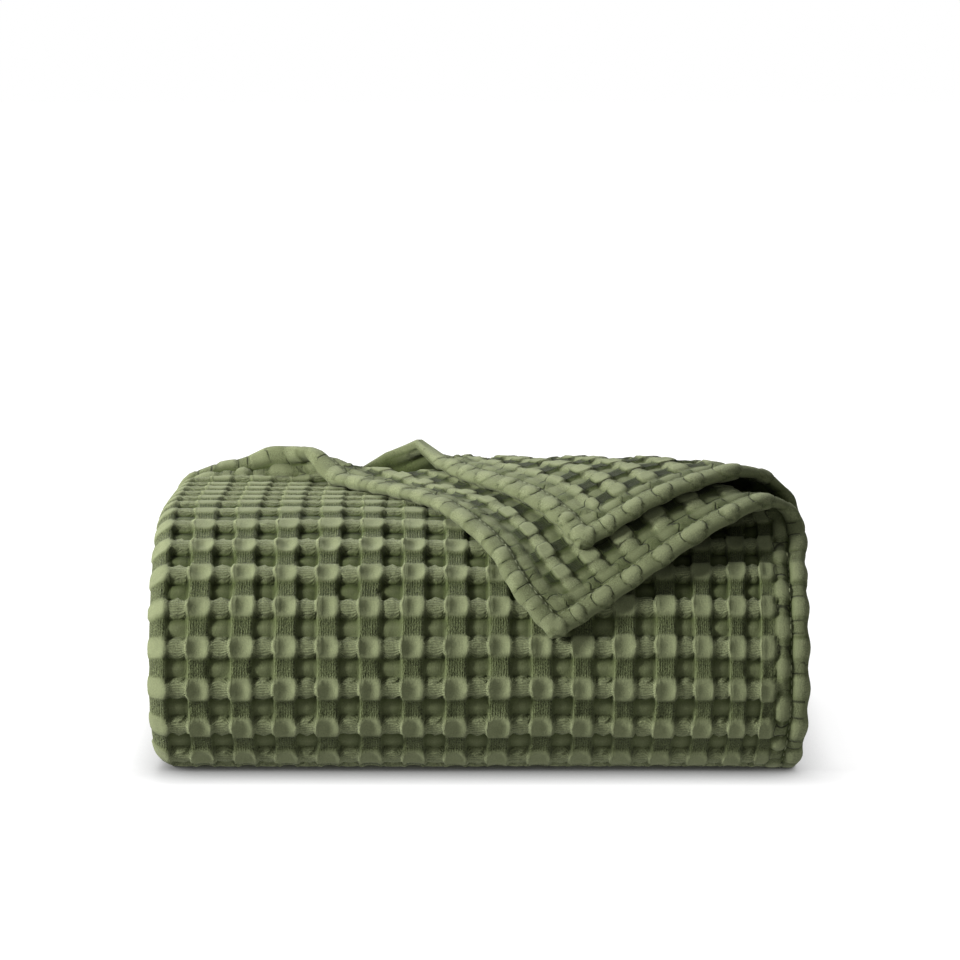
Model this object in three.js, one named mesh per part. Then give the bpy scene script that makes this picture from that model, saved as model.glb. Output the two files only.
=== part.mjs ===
// A waffle-weave bamboo throw, folded as it is put away on a shelf or at the foot of a bed.
// It is one cut of cloth. The width is halved twice, which makes a strip of four layers with
// folds at the left end and two hems at the right. The strip is then rolled up flat, so that its
// outer turn wraps the front, and its last length lies on top. The corner of the two hemmed
// layers is turned over towards the front in two soft loops.
// Millimetres, +Z up, +X along the folded width, -Y the front.
import * as THREE from "three";

// Driving sizes
const FOLDED_WIDTH = 322; // left fold to right hem
const FOLDED_DEPTH = 286; // front of the roll to its back
const SHEET = 4.4; // one layer of waffle cloth, over its ridges
const AIR = 0.78; // between layers that lie on each other
const TOP_RUN = 100; // flat length on top, behind the front shoulder, up to the end hem

// What follows from them
const STEP = SHEET + AIR; // from one layer to the next
const LAYERS = 4; // in the strip
const LEVEL = LAYERS * STEP; // from one turn of the strip to the next
const DEEPEST = (LAYERS - 1) * STEP + SHEET / 2; // outer layer's middle to the strip's inner face
const LEFT = -FOLDED_WIDTH / 2;
const RIGHT = FOLDED_WIDTH / 2;
const rad = THREE.MathUtils.degToRad;
const { lerp, smoothstep } = THREE.MathUtils;

// The turns of the flat roll, from its core outwards. Each row is one fold of the strip: the side
// it is on, the levels that it joins, how far its outer face stays inside the stack's face, and its
// arcs as radius and turn. The radii are those of the outer layer. A radius of 0 is worked out from
// the rise that is left.
const FOLDS = [
  { side: "front", from: 2, to: 3, inset: 76, arcs: [{ radius: 0, turn: 180 }] },
  { side: "back", from: 3, to: 1, inset: 24, arcs: [{ radius: 0, turn: 180 }] },
  {
    side: "front",
    from: 1,
    to: 4,
    inset: 25,
    arcs: [
      { radius: 19, turn: 45 },
      { radius: 0, turn: 91 },
      { radius: 84, turn: 38 },
      { radius: 212, turn: 6 },
    ],
  },
  {
    side: "back",
    from: 4,
    to: 0,
    inset: 0,
    arcs: [
      { radius: 30, turn: 60 },
      { radius: 0, turn: 60 },
      { radius: 30, turn: 60 },
    ],
  },
  {
    side: "front",
    from: 0,
    to: 5,
    inset: 0,
    arcs: [
      { radius: 22.4, turn: 45 },
      { radius: 0, turn: 91 },
      { radius: 108, turn: 38 },
      { radius: 236, turn: 6 },
    ],
  },
];
const CORE_START = 70; // the roll's inner end, from the stack's back face
const SAG = 0.25; // how far a straight edge between two rows of points may miss an arc

// The corner that is turned over, a row for each of the two hemmed layers, the outer one first. Its
// crease runs from the end hem to the right hem, at these distances from the corner. The loop's half
// width, height, and the length over which it comes down again are given along the crease. The bow
// is how far the turned end hem stands out of a straight line, at a distance from the corner.
const TURNED = [
  {
    corner: { end: 267, side: 147 },
    bow: { at: 30, by: 3.5 },
    end: { wide: 10, high: 22, settle: 14 },
    middle: { wide: 6.5, high: 9, settle: 18 },
    side: { wide: 22, high: 20.5, settle: 100 },
  },
  {
    corner: { end: 207, side: 125 },
    bow: { at: 100, by: 10.5 },
    end: { wide: 13, high: 36, settle: 16 },
    middle: { wide: 12, high: 22, settle: 14 },
    side: { wide: 28, high: 32.5, settle: 80 },
  },
];
const TURNED_MIDDLE = 0.22; // where along the crease the middle sizes hold
const BOW_OVER = 75; // length from the end hem over which the bow is lost
const TURNED_REST = 6.2; // from a layer to the turned layer that lies on it
// Beside the turned corner the outer layer's end hem lifts off the stack, between these places along
// X, and it comes down over a length from the end hem
const LIP = { from: -160, full: -130, fade: -112, to: -84, high: 8, over: 26 };
const TURNED_FROM = 206; // the rows of points below follow the crease from here to the end hem
const TURNED_ROWS = { before: 8, loop: 7, after: 7, closest: 2 };
const FLAT_ROWS = 0.25; // rows of points on the flat top, against those on the shoulder
const TURNED_COLUMNS = 18;
const HEM = { width: 13, extra: 1.6 }; // a hem's band, and how much thicker it is where it is free

// Height of the outer layer's middle where the strip runs to the front or to the back on a level
const heightTo = {
  front: (level) => level * LEVEL + SHEET / 2,
  back: (level) => (level + 1) * LEVEL - AIR - SHEET / 2,
};

// Arcs of a fold with the free radius worked out. A turn is counted from the run into the fold.
function solvedArcs(fold) {
  const other = fold.side === "front" ? "back" : "front";
  const rise = Math.abs(heightTo[other](fold.to) - heightTo[fold.side](fold.from));
  let turned = 0;
  const shares = fold.arcs.map(({ radius, turn }) => {
    const share = Math.cos(rad(turned)) - Math.cos(rad(turned + turn));
    turned += turn;
    return { radius, turn, share };
  });
  const known = shares.reduce((sum, { radius, share }) => sum + radius * share, 0);
  const free = shares.find(({ radius }) => radius === 0);
  free.radius = (rise - known) / free.share;
  return shares;
}

// A piece of the roll's section. Heading 180 runs to the front and 0 to the back, and every arc
// turns clockwise seen with +Y to the right, so the outer side is always on the left.
function along(piece, distance) {
  if (piece.radius === undefined) {
    return {
      y: piece.y + distance * Math.cos(piece.heading),
      z: piece.z + distance * Math.sin(piece.heading),
      heading: piece.heading,
    };
  }
  const heading = piece.heading - distance / piece.radius;
  return {
    y: piece.y + piece.radius * (Math.sin(piece.heading) - Math.sin(heading)),
    z: piece.z + piece.radius * (Math.cos(heading) - Math.cos(piece.heading)),
    heading,
  };
}

// The outer layer's line through the whole roll, as straight runs and arcs
function rollPieces() {
  const pieces = [];
  let start = 0;
  const add = (piece) => {
    pieces.push({ ...piece, start });
    start += piece.length;
  };
  let y = FOLDED_DEPTH / 2 - CORE_START;
  for (const fold of FOLDS) {
    const arcs = solvedArcs(fold);
    const heading = fold.side === "front" ? Math.PI : 0;
    const sign = fold.side === "front" ? -1 : 1;
    let widest = 0;
    let turned = 0;
    let reach = 0;
    for (const { radius, turn } of arcs) {
      const quarter = Math.min(Math.max(90 - turned, 0), turn);
      widest = Math.max(widest, reach + radius * (Math.sin(rad(turned + quarter)) - Math.sin(rad(turned))));
      reach += radius * (Math.sin(rad(turned + turn)) - Math.sin(rad(turned)));
      turned += turn;
    }
    const face = sign * (FOLDED_DEPTH / 2 - SHEET / 2 - fold.inset);
    const bendStart = face - sign * widest;
    const z = heightTo[fold.side](fold.from);
    add({ y, z, heading, length: Math.abs(bendStart - y) });
    let at = { y: bendStart, z, heading };
    for (const { radius, turn } of arcs) {
      const piece = { ...at, radius, length: radius * rad(turn) };
      add(piece);
      at = along(piece, piece.length);
    }
    y = at.y;
  }
  add({ y, z: heightTo.back(FOLDS.at(-1).to), heading: 0, length: TOP_RUN });
  return pieces;
}

const ROLL = rollPieces();
const ROLL_LENGTH = ROLL.at(-1).start + ROLL.at(-1).length;

// Point on the roll's section, a distance from its core and a height off the outer layer
function onRoll(distance, height) {
  const piece = ROLL.findLast(({ start }) => start <= distance) ?? ROLL[0];
  const { y, z, heading } = along(piece, distance - piece.start);
  return { y: y - height * Math.sin(heading), z: z + height * Math.cos(heading) };
}

// How far in the ends of the strip lie from the stack's own, along the roll. The turns were not
// laid quite in line, and the front's lower edge draws in a little. Distances are from the core.
const ENDS = [
  { at: 0, left: 6, hems: 9, fold: 12 },
  { at: 300, left: 3, hems: 5, fold: 9 },
  { at: 640, left: 4, hems: 7, fold: 7 },
  { at: 960, left: 1.5, hems: 3, fold: 8 },
  { at: 1200, left: 1.5, hems: 4, fold: 9 },
  { at: 1270, left: -1, hems: -1, fold: 6 },
  { at: 1420, left: -0.5, hems: -0.5, fold: 6 },
  { at: 1560, left: 4, hems: 1, fold: 7 },
];

function endsAt(distance) {
  const after = Math.max(1, ENDS.findIndex(({ at }) => at > distance));
  const [a, b] = [ENDS[after - 1], ENDS[after]];
  const share = smoothstep(distance, a.at, b.at);
  return {
    left: LEFT + lerp(a.left, b.left, share),
    hems: RIGHT - lerp(a.hems, b.hems, share),
    fold: RIGHT - lerp(a.fold, b.fold, share),
  };
}

// The strip's section, from the outer layer's hem round to the second layer's hem. A point is a
// share of the way from the left folds' centre to the hems or to the right fold's centre, plus a
// step along X, and a depth below the outer layer. The normal is that of the cloth's outer face.
function stripSection(columns) {
  const points = [];
  const straight = (layer, face, end, from, to, count) => {
    for (let i = 0; i <= count; i += 1) {
      points.push({ layer, end, share: lerp(from, to, i / count), step: 0, depth: -layer * STEP, nx: 0, nz: face });
    }
  };
  const fold = (end, share, layers, start, turn, outward, count) => {
    const centre = (-(layers[0] + layers[1]) / 2) * STEP;
    const radius = (Math.abs(layers[1] - layers[0]) / 2) * STEP;
    for (let i = 1; i < count; i += 1) {
      const angle = rad(start + (turn * i) / count);
      const [c, s] = [Math.cos(angle), Math.sin(angle)];
      points.push({
        layer: -1,
        end,
        share,
        step: radius * c,
        depth: centre + radius * s,
        nx: outward * c,
        nz: outward * s,
      });
    }
  };
  straight(0, 1, "hems", 1, 0, columns);
  fold("hems", 0, [0, 3], 90, 180, 1, 8);
  straight(3, -1, "fold", 0, 1, 1);
  fold("fold", 1, [3, 2], -90, 180, 1, 5);
  straight(2, 1, "fold", 1, 0, 1);
  fold("hems", 0, [2, 1], -90, -180, -1, 5);
  straight(1, -1, "hems", 0, 1, columns);
  return points;
}

const LEFT_CENTRE = 1.5 * STEP + SHEET / 2; // the left folds' centre, from the left end
const FOLD_CENTRE = 0.5 * STEP + SHEET / 2; // the right fold's centre, from its own end

// One layer's loop at the turned corner, in the flat: the direction across the crease, the distance
// past the line where the layer leaves the stack, and the loop's size there
function loopAt(layer, x, fromEnd, hems) {
  const { corner, end, middle, side } = TURNED[layer];
  const length = Math.hypot(corner.end, corner.side);
  const across = { x: corner.side / length, q: -corner.end / length };
  const dx = x - (hems - corner.end);
  const reach = (dx * corner.end + fromEnd * corner.side) / length / length;
  const toMiddle = smoothstep(reach, 0, TURNED_MIDDLE);
  const toSide = smoothstep(reach, TURNED_MIDDLE, 1);
  const [wide, high, settle] = ["wide", "high", "settle"].map((size) =>
    lerp(lerp(end[size], middle[size], toMiddle), side[size], toSide),
  );
  const lap = Math.PI * Math.sqrt((wide * wide + (high * high) / 4) / 2);
  const past = dx * across.x + fromEnd * across.q + lap / 2;
  return { across, past, wide, high, lap, settle };
}

// How far the outer layer's end hem lifts off beside the turned corner
function lipHeight(x, fromEnd) {
  const there = smoothstep(x, LIP.from, LIP.full) * (1 - smoothstep(x, LIP.fade, LIP.to));
  return LIP.high * there * (1 - smoothstep(fromEnd, 0, LIP.over));
}

// Distance from the end hem, with the bow of the turned hem taken off
function bowed(layer, x, fromEnd, hems) {
  const { at, by } = TURNED[layer].bow;
  const there = smoothstep(hems - x, 0, at) * (1 - smoothstep(hems - x, at, 2 * at));
  return fromEnd - by * there * (1 - smoothstep(fromEnd, 0, BOW_OVER));
}

// Height of the turned outer layer over a place on the stack
function turnedHeight(x, fromEnd, hems) {
  const { past, high, settle } = loopAt(0, x, fromEnd, hems);
  return lerp(high, TURNED_REST, smoothstep(-past, 0, settle));
}

// Where a point of a hemmed layer goes when the corner is turned over, still in the flat: x, the
// distance from the end hem, the height, and the layer's own up direction
function turnCorner(layer, x, plainEnd, hems) {
  const fromEnd = bowed(layer, x, plainEnd, hems);
  const { across, past, wide, high, lap, settle } = loopAt(layer, x, fromEnd, hems);
  if (past <= 0) return { x, fromEnd, height: 0, up: { x: 0, q: 0, n: 1 } };
  const angle = Math.PI * Math.min(past / lap, 1);
  const moved = past > lap ? lap - 2 * past : wide * Math.sin(angle) - past;
  const place = { x: x + moved * across.x, fromEnd: fromEnd + moved * across.q };
  let height = (high / 2) * (1 - Math.cos(angle));
  if (past > lap) {
    const below = layer === 0 ? 0 : turnedHeight(place.x, place.fromEnd, hems) + STEP;
    height = lerp(high, below + TURNED_REST, smoothstep(past - lap, 0, settle));
  }
  const tilt = -Math.sin(angle);
  return { ...place, height, up: { x: tilt * across.x, q: tilt * across.q, n: Math.cos(angle) } };
}

// Distances from the end hem of the rows of points at a place on a hemmed layer. They follow the
// crease: some before it, some round the loop and some on the turned corner.
function turnedRows(layer, x) {
  const { before, loop, after, closest } = TURNED_ROWS;
  let start = 0;
  let finish = 0;
  if (layer === 0 || layer === 1) {
    for (let pass = 0; pass < 4; pass += 1) {
      const { past, lap, across } = loopAt(layer, x, start, RIGHT);
      start = Math.max(0, start - past / across.q);
      finish = Math.max(0, start + lap / across.q);
    }
  }
  const share = (from, to, count) => Array.from({ length: count }, (_, i) => lerp(from, to, (i + 1) / count));
  const onFlat = Math.max(0, TOP_RUN - start);
  const weighted = share(0, TURNED_FROM - start - onFlat * (1 - FLAT_ROWS), before);
  const shoulder = TURNED_FROM - TOP_RUN;
  const rows = [
    TURNED_FROM,
    ...weighted.map((run) => TURNED_FROM - Math.min(run, shoulder) - Math.max(0, run - shoulder) / FLAT_ROWS),
    ...share(start, finish, loop),
    ...share(finish, 0, after),
  ];
  return rows.map((fromEnd, i) => Math.max(fromEnd, (rows.length - 1 - i) * closest));
}

// How much thicker the cloth is at a point, because it is a free hem
function hemExtra(layer, x, fromEnd, hems) {
  const { past, lap } = loopAt(layer, x, fromEnd, hems);
  const free = smoothstep(past, 0, lap);
  const edge = Math.min(hems - x, fromEnd);
  return HEM.extra * free * (1 - smoothstep(edge, HEM.width * 0.8, HEM.width * 1.4));
}

// A point of one face of the cloth. Side 1 is the outer face and -1 the inner.
function clothPoint(point, distance, side) {
  const ends = endsAt(distance);
  const from = ends.left + LEFT_CENTRE;
  const to = point.end === "hems" ? ends.hems : ends.fold - FOLD_CENTRE;
  const x = lerp(from, to, point.share) + point.step;
  const fromEnd = ROLL_LENGTH - distance;
  const hemmed = point.layer === 0 || point.layer === 1;
  const turned = hemmed
    ? turnCorner(point.layer, x, fromEnd, ends.hems)
    : { x, fromEnd, height: 0, up: { x: 0, q: 0, n: 1 } };
  const extra = hemmed ? hemExtra(point.layer, x, fromEnd, ends.hems) : 0;
  const lip = Math.max(0, 1 + point.depth / STEP) * lipHeight(x, fromEnd);
  const half = (side * (SHEET + extra)) / 2;
  const lift = half * point.nz;
  const flatX = turned.x + half * point.nx + lift * turned.up.x;
  const flatEnd = turned.fromEnd + lift * turned.up.q;
  const height = point.depth + turned.height + lip + lift * turned.up.n;
  const { y, z } = onRoll(ROLL_LENGTH - flatEnd, height);
  return [flatX, y, z];
}

// Distances from the core of the rows of points that cross the strip, up to the turned corner
function plainRows() {
  const rows = [0];
  for (const piece of ROLL) {
    const { radius = Infinity, length } = piece;
    const step = 2 * Math.sqrt(2 * radius * SAG);
    const count = Math.max(1, Math.round(length / step));
    for (let i = 1; i <= count; i += 1) {
      rows.push(piece.start + (piece.length * i) / count);
    }
  }
  return rows.filter((distance) => distance < ROLL_LENGTH - TURNED_FROM - 4);
}

// The cloth as one closed body: an outer and an inner face, joined round the four edges
function clothGeometry() {
  const positions = [];
  const index = [];
  const corner = (point, distance, side) => {
    positions.push(...clothPoint(point, distance, side));
    return positions.length / 3 - 1;
  };
  const tri = (a, b, c, flip) => (flip ? index.push(a, b, c) : index.push(a, c, b));
  const quad = (a, b, c, d, flip) => {
    tri(a, b, c, flip);
    tri(a, c, d, flip);
  };

  // A row of points across the strip, with each point's place along it
  const makeRow = (section, distances) => {
    let place = 0;
    const places = section.map((point, i) => {
      const last = section[i - 1];
      const onLayer = last && last.layer >= 0 && last.layer === point.layer;
      place += onLayer ? Math.abs(point.share - last.share) : Number(i > 0);
      return place;
    });
    return {
      places,
      outer: section.map((point, i) => corner(point, distances[i], 1)),
      inner: section.map((point, i) => corner(point, distances[i], -1)),
    };
  };

  // Joins one face of two rows, which may differ in their number of points
  const joinRows = (first, second, face) => {
    const flip = face === "inner";
    const [p, q] = [first[face], second[face]];
    let i = 0;
    let j = 0;
    while (i < p.length - 1 || j < q.length - 1) {
      const ahead = (first.places[i + 1] ?? Infinity) - (second.places[j + 1] ?? Infinity);
      if (Math.abs(ahead) < 1e-6) {
        quad(p[i], p[i + 1], q[j + 1], q[j], flip);
        i += 1;
        j += 1;
      } else if (ahead < 0) {
        tri(p[i], p[i + 1], q[j], flip);
        i += 1;
      } else {
        tri(p[i], q[j + 1], q[j], flip);
        j += 1;
      }
    }
  };

  const plain = stripSection(1);
  const rows = plainRows().map((distance) => makeRow(plain, plain.map(() => distance)));
  const turned = stripSection(TURNED_COLUMNS);
  const columns = turned.map(({ layer, share }) => turnedRows(layer, lerp(LEFT + LEFT_CENTRE, RIGHT, share)));
  for (let i = 0; i < columns[0].length; i += 1) {
    rows.push(makeRow(turned, columns.map((column) => ROLL_LENGTH - column[i])));
  }

  for (let k = 1; k < rows.length; k += 1) {
    const [first, second] = [rows[k - 1], rows[k]];
    joinRows(first, second, "outer");
    joinRows(first, second, "inner");
    quad(first.outer[0], second.outer[0], second.inner[0], first.inner[0], false);
    quad(first.outer.at(-1), first.inner.at(-1), second.inner.at(-1), second.outer.at(-1), false);
  }
  const cap = (row, flip) => {
    for (let i = 1; i < row.outer.length; i += 1) {
      quad(row.outer[i - 1], row.inner[i - 1], row.inner[i], row.outer[i], flip);
    }
  };
  cap(rows[0], false);
  cap(rows.at(-1), true);
  const geometry = new THREE.BufferGeometry();
  geometry.setAttribute("position", new THREE.Float32BufferAttribute(positions, 3));
  geometry.setIndex(index);
  return geometry;
}

// The frame: the middle of the base is the origin
const geometry = clothGeometry();
geometry.computeBoundingBox();
const middle = geometry.boundingBox.getCenter(new THREE.Vector3());
geometry.translate(-middle.x, -middle.y, -geometry.boundingBox.min.z);
geometry.computeVertexNormals();

const blanket = new THREE.Mesh(geometry, new THREE.MeshStandardMaterial({ color: 0x7d8a5e }));
blanket.name = "blanket";

const part = new THREE.Group();
part.name = "part";
part.add(blanket);
export default part;
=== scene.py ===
"""A waffle-weave throw: folded to a strip of four layers, rolled up flat, one corner turned over.

The cloth is one closed mesh. Its flat sheet is folded, rolled and turned over by functions, and its
waffle is real relief wherever it shows. Sizes are in millimetres until a mesh is written in metres.
"""

import math
from types import SimpleNamespace as Sizes

import bpy
import numpy as np
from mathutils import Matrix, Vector


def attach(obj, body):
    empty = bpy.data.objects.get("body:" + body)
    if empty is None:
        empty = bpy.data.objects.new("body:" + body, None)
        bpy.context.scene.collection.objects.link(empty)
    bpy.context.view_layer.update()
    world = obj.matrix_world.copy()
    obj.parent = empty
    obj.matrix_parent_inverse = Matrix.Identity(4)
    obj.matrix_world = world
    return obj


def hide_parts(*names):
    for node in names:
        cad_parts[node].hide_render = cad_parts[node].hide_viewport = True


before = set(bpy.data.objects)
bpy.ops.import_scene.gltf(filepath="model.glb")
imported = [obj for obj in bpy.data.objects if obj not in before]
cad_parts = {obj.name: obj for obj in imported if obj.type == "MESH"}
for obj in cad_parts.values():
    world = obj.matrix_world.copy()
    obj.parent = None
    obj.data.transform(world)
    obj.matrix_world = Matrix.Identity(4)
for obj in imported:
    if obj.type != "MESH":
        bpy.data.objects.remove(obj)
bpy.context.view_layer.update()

MM = 0.001

# The folded cloth, as in the part's own sizes
FOLDED_WIDTH = 322.0
FOLDED_DEPTH = 286.0
SHEET = 4.4
AIR = 0.78
TOP_RUN = 100.0
FOLD_SHORT = 7.0  # how much sooner the two lower layers end, at their right fold, than the hems
STEP = SHEET + AIR
LAYERS = 4
LEVEL = LAYERS * STEP
LEFT = -FOLDED_WIDTH / 2
RIGHT = FOLDED_WIDTH / 2

# The turns of the flat roll from its core outwards. An arc is a radius and a turn in degrees, and a
# radius of 0 is worked out from the rise that is left.
INNER_FRONT = [(19, 45), (0, 91), (84, 38), (212, 6)]
OUTER_FRONT = [(22.4, 45), (0, 91), (108, 38), (236, 6)]
OUTER_BACK = [(30, 60), (0, 60), (30, 60)]
HALF_ROUND = [(0, 180)]
FOLDS = [
    {"side": "front", "from": 2, "to": 3, "inset": 76, "arcs": HALF_ROUND},
    {"side": "back", "from": 3, "to": 1, "inset": 24, "arcs": HALF_ROUND},
    {"side": "front", "from": 1, "to": 4, "inset": 25, "arcs": INNER_FRONT},
    {"side": "back", "from": 4, "to": 0, "inset": 0, "arcs": OUTER_BACK},
    {"side": "front", "from": 0, "to": 5, "inset": 0, "arcs": OUTER_FRONT},
]
CORE_START = 70.0

# How far in the ends of the strip lie along the roll: at a distance from the core, the left folds,
# the hems and the right fold
ENDS = {
    "at": [0, 300, 640, 960, 1200, 1270, 1420, 1560],
    "left": [6, 3, 4, 1.5, 1.5, -1, -0.5, 4],
    "hems": [9, 5, 7, 3, 4, -1, -0.5, 1],
    "fold": [12, 9, 7, 8, 9, 6, 6, 7],
}

# The loops of the turned corner, for the outer and for the second layer. The crease runs from the end
# hem to the right hem, at these distances from the corner. The sizes along it are the loop's half
# width, its height, and the length over which it comes down. The bow is how far the turned end hem
# stands out of a straight line, at a distance from the corner.
TURNED = [
    {
        "corner": (267, 147),
        "bow": (30, 3.5),
        "end": (10, 22, 14),
        "middle": (6.5, 9, 18),
        "side": (22, 20.5, 100),
    },
    {
        "corner": (207, 125),
        "bow": (100, 10.5),
        "end": (13, 36, 16),
        "middle": (12, 22, 14),
        "side": (28, 32.5, 80),
    },
]
TURNED_MIDDLE = 0.22
TURNED_REST = 6.2
BOW_OVER = 75.0
LIP = {"from": -160, "full": -130, "fade": -112, "to": -84, "high": 8, "over": 26}

# The hems: how much thicker they are where they are turned over, where that fades out and where the
# waffle starts, by the distance from the edge, and the rounding of the corners and of the edges
HEM_EXTRA = 1.6
HEM_FADE = (10.4, 18.2)
HEM_ZONE = 17.6
CORNER_RADIUS = 7.0
EDGE_ROUND = 2.8
EDGE_FULL = 0.985
FAR = 1e3  # stands for the distance from a side hem where a layer has none

# The waffle: cells across and along, and how they crowd at a hem
CELL_ACROSS = 20.9
CELL_ALONG = 20.4
CROWDED_CELLS = 1.419
CROWDED_OVER = 30.0
FIRST_ACROSS = -1.62
FIRST_ALONG = -1.5155

# Painted shade: the colour is darkened where shade falls, from the darkest hollows to 1 on the pads. The
# material's scale has shade 0 at SHADE_ZERO.
SHADE_ZERO = 0.2
DARKEST = -0.25

# The two faces of the waffle: its shift in cells, how deep the pads are hollowed where the cloth is
# drawn tight and where it is turned over, and the pits' floor and the rise of the pillow in them
FACES = {
    1: {"shift": 0.0, "tight": 2.3, "loose": 0.2, "floor": -4.2, "rise": 1.7},
    -1: {"shift": 0.5, "tight": -0.4, "loose": -0.4, "floor": -3.9, "rise": 2.1},
}


def smooth(value, low, high):
    share = np.clip((value - low) / (high - low), 0.0, 1.0)
    return share * share * (3.0 - 2.0 * share)


def mix(first, second, share):
    return first + (second - first) * share


def bell(value, width):
    return np.exp(-((value / width) ** 2))


def dome(value):
    """From 1 at 0 down to 0 at -1 and 1, and 0 past them."""
    return np.clip(1 - value**2, 0, 1)


# The roll's section


def height_to(side, level):
    """Height of the outer layer's middle where the strip runs to the front or to the back."""
    if side == "front":
        return level * LEVEL + SHEET / 2
    return (level + 1) * LEVEL - AIR - SHEET / 2


def solved_arcs(fold):
    """The fold's arcs with the free radius worked out and the turns in radians."""
    other = "back" if fold["side"] == "front" else "front"
    rise = abs(height_to(other, fold["to"]) - height_to(fold["side"], fold["from"]))
    turned = 0.0
    known = 0.0
    free_share = 0.0
    for radius, turn in fold["arcs"]:
        share = math.cos(math.radians(turned)) - math.cos(math.radians(turned + turn))
        known += radius * share
        if radius == 0:
            free_share = share
        turned += turn
    free = (rise - known) / free_share
    return [(radius or free, math.radians(turn)) for radius, turn in fold["arcs"]]


def after_arc(y, z, heading, radius, turn):
    """The section's place and heading after a clockwise arc, with +Y to the right."""
    curve = 1 / radius
    ahead = heading - radius * turn * curve
    return (
        y + (math.sin(heading) - math.sin(ahead)) / curve,
        z + (math.cos(ahead) - math.cos(heading)) / curve,
        ahead,
    )


def widest_reach(arcs):
    """How far a fold's arcs go out past the place where it starts to bend."""
    widest = 0.0
    reach = 0.0
    turned = 0.0
    for radius, turn in arcs:
        quarter = min(max(math.pi / 2 - turned, 0.0), turn)
        widest = max(widest, reach + radius * (math.sin(turned + quarter) - math.sin(turned)))
        reach += radius * (math.sin(turned + turn) - math.sin(turned))
        turned += turn
    return widest


def roll_pieces():
    """The outer layer's line through the roll, as rows of start, y, z, heading and curvature."""
    pieces = []
    start = 0.0
    y = FOLDED_DEPTH / 2 - CORE_START
    for fold in FOLDS:
        arcs = solved_arcs(fold)
        heading = math.pi if fold["side"] == "front" else 0.0
        sign = -1 if fold["side"] == "front" else 1
        face = sign * (FOLDED_DEPTH / 2 - SHEET / 2 - fold["inset"])
        bend = face - sign * widest_reach(arcs)
        z = height_to(fold["side"], fold["from"])
        pieces.append((start, y, z, heading, 0.0))
        start += abs(bend - y)
        y = bend
        for radius, turn in arcs:
            pieces.append((start, y, z, heading, 1 / radius))
            y, z, heading = after_arc(y, z, heading, radius, turn)
            start += radius * turn
    pieces.append((start, y, height_to("back", FOLDS[-1]["to"]), 0.0, 0.0))
    return np.array(pieces), start + TOP_RUN


ROLL, ROLL_LENGTH = roll_pieces()


def on_roll(distance, height):
    """Points of the roll's section, at distances from its core and heights off the outer layer."""
    found = np.clip(np.searchsorted(ROLL[:, 0], distance, side="right") - 1, 0, len(ROLL) - 1)
    start, y, z, heading, curve = np.moveaxis(ROLL[found], -1, 0)
    run = distance - start
    bent = curve > 0
    safe = np.where(bent, curve, 1.0)
    ahead = heading - run * curve
    y = np.where(bent, y + (np.sin(heading) - np.sin(ahead)) / safe, y + run * np.cos(heading))
    z = np.where(bent, z + (np.cos(ahead) - np.cos(heading)) / safe, z + run * np.sin(heading))
    return y - height * np.sin(ahead), z + height * np.cos(ahead)


END_Y = float(on_roll(np.array([ROLL_LENGTH]), 0.0)[0][0])


def ends_at(distance):
    """X of the left folds, the hems and the right fold at distances from the core."""
    at = np.array(ENDS["at"], float)
    after = np.clip(np.searchsorted(at, distance, side="right"), 1, len(at) - 1)
    share = smooth(distance, at[after - 1], at[after])
    inset = {}
    for name in ("left", "hems", "fold"):
        values = np.array(ENDS[name], float)
        inset[name] = mix(values[after - 1], values[after], share)
    return LEFT + inset["left"], RIGHT - inset["hems"], RIGHT - inset["fold"]


# The strip's section: four layers in one line from the outer layer's hem to the second layer's hem.
# A bend's middle and radius are in steps from layer to layer, and its turn is in degrees.

BENDS = {
    "left_fold": {"middle": -1.5, "radius": 1.5, "turn": (90, 270), "out": 1},
    "right_fold": {"middle": -2.5, "radius": 0.5, "turn": (-90, 90), "out": 1},
    "inner_fold": {"middle": -1.5, "radius": 0.5, "turn": (-90, -270), "out": -1},
}
LEFT_CENTRE = BENDS["left_fold"]["radius"] * STEP + SHEET / 2
FOLD_CENTRE = BENDS["right_fold"]["radius"] * STEP + SHEET / 2
TO_HEM = FOLDED_WIDTH - LEFT_CENTRE
TO_FOLD = FOLDED_WIDTH - LEFT_CENTRE - FOLD_CENTRE - FOLD_SHORT
LENGTHS = {name: math.pi * bend["radius"] * STEP for name, bend in BENDS.items()}
STRIP = [
    {"run": "outer", "length": TO_HEM, "hems": True, "share": (1, 0), "layer": 0, "face": 1},
    {"run": "left_fold", "length": LENGTHS["left_fold"], "hems": True, "share": (0, 0)},
    {"run": "lowest", "length": TO_FOLD, "hems": False, "share": (0, 1), "layer": 3, "face": -1},
    {"run": "right_fold", "length": LENGTHS["right_fold"], "hems": False, "share": (1, 1)},
    {"run": "third", "length": TO_FOLD, "hems": False, "share": (1, 0), "layer": 2, "face": 1},
    {"run": "inner_fold", "length": LENGTHS["inner_fold"], "hems": True, "share": (0, 0)},
    {"run": "second", "length": TO_HEM, "hems": True, "share": (0, 1), "layer": 1, "face": -1},
]
RUN_STARTS = np.cumsum([0.0] + [row["length"] for row in STRIP])
CUT_WIDTH = float(RUN_STARTS[-1])
OUTER_END = RUN_STARTS[1]
LEFT_FOLD_END = RUN_STARTS[2]
THIRD_START = RUN_STARTS[4]
THIRD_END = RUN_STARTS[5]
NO_LAYER = -1


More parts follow.
